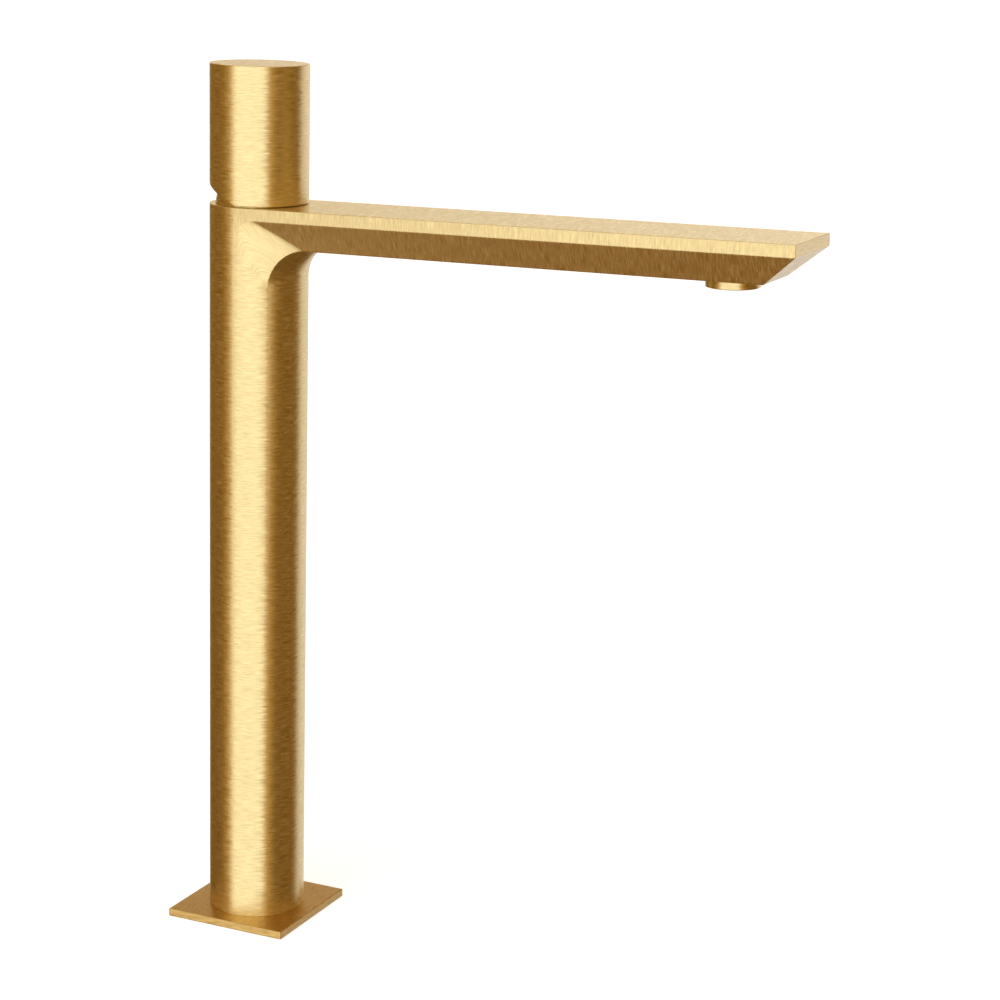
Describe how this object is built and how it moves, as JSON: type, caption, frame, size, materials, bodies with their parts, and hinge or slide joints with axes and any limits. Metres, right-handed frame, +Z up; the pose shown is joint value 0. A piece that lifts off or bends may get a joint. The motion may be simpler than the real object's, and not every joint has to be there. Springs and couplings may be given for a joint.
{
  "type": "basin mixer tap",
  "caption": "Tall deck-mounted basin mixer: round column, slab spout, joystick handle, square base plate, inner cartridge and under-deck clamp.",
  "frame": {"origin": "centre of the base plate's lower face, on the deck, on the column's axis", "axes": "+Z up along the column; the spout points along -Y; +X is the hot side, on the left of a user facing the tap"},
  "size_m": [0.049, 0.2345, 0.3845],
  "materials": {
    "brushed_gold": "brushed, gold coated",
    "raw_brass": "machined, uncoated",
    "steel": "machined stainless",
    "copper": "drawn copper tube",
    "ceramic": "lapped, white",
    "housing_plastic": "moulded, off-white",
    "acetal": "moulded, dark grey",
    "strainer_plastic": "moulded, pale grey-blue",
    "rubber": "moulded, black"
  },
  "bodies": {
    "tap_body": {"faucet_body": "brushed_gold", "base_plate": "brushed_gold", "base_gasket": "rubber", "foot_block": "raw_brass", "foot_ring": "rubber", "outlet_seal": "rubber", "dome_cover": "brushed_gold", "dome_ring": "rubber", "cartridge_housing": "housing_plastic", "cartridge_ring": "rubber", "cartridge_base": "acetal", "cartridge_nut": "raw_brass", "lower_ceramic_disc": "ceramic", "valve_block": "raw_brass", "block_ring_lower": "rubber", "block_ring_upper": "rubber", "hot_port_seal": "rubber", "hot_riser": "copper", "hot_riser_seal_upper": "rubber", "hot_riser_seal_lower": "rubber", "cold_port_seal": "rubber", "cold_riser": "copper", "cold_riser_seal_upper": "rubber", "cold_riser_seal_lower": "rubber", "fixing_stud": "steel"},
    "rotor": {"lever_holder": "acetal", "lever_pivot_pin": "steel"},
    "handle": {"handle_shell": "brushed_gold", "handle_insert": "raw_brass", "handle_set_screw": "steel", "handle_screw_plug": "brushed_gold", "lever": "steel"},
    "sliding_disc": {"upper_ceramic_disc": "ceramic", "disc_carrier": "acetal"},
    "aerator_core": {"outlet_strainer": "strainer_plastic", "outlet_screen": "steel"},
    "aerator_ring": {"outlet_ring": "brushed_gold"},
    "clamp": {"clamp_rubber": "rubber", "clamp_washer": "steel", "clamp_nut": "raw_brass"}
  },
  "joints": [
    {"name": "temperature_turn", "type": "hinge", "parent": "tap_body", "child": "rotor", "pos_m": [0, 0, 0.2724], "axis": [0, 0, 1], "range_deg": [-45, 45]},
    {"name": "flow_tilt", "type": "hinge", "parent": "rotor", "child": "handle", "pos_m": [0, 0, 0.2724], "axis": [-1, 0, 0], "range_deg": [0, 20]},
    {"name": "disc_slide", "type": "slide", "parent": "rotor", "child": "sliding_disc", "axis": [0, -1, 0], "range_m": [0, 0.003]},
    {"name": "aerator_drop", "type": "slide", "parent": "tap_body", "child": "aerator_core", "axis": [0, -0.0183, -0.9998], "range_m": [0, 0.007]},
    {"name": "aerator_turn", "type": "hinge", "parent": "aerator_core", "child": "aerator_ring", "pos_m": [0, -0.18279, 0.258], "axis": [0, -0.0183, -0.9998], "range_deg": [0, 2525]},
    {"name": "clamp_slide", "type": "slide", "parent": "tap_body", "child": "clamp", "axis": [0, 0, 1], "range_m": [-0.026, 0.017]}
  ],
  "couplings": [
    {"joint": "disc_slide", "follows": "flow_tilt", "m_per_rad": 0.0084},
    {"joint": "aerator_turn", "follows": "aerator_drop", "rad_per_m": 6283.2}
  ]
}
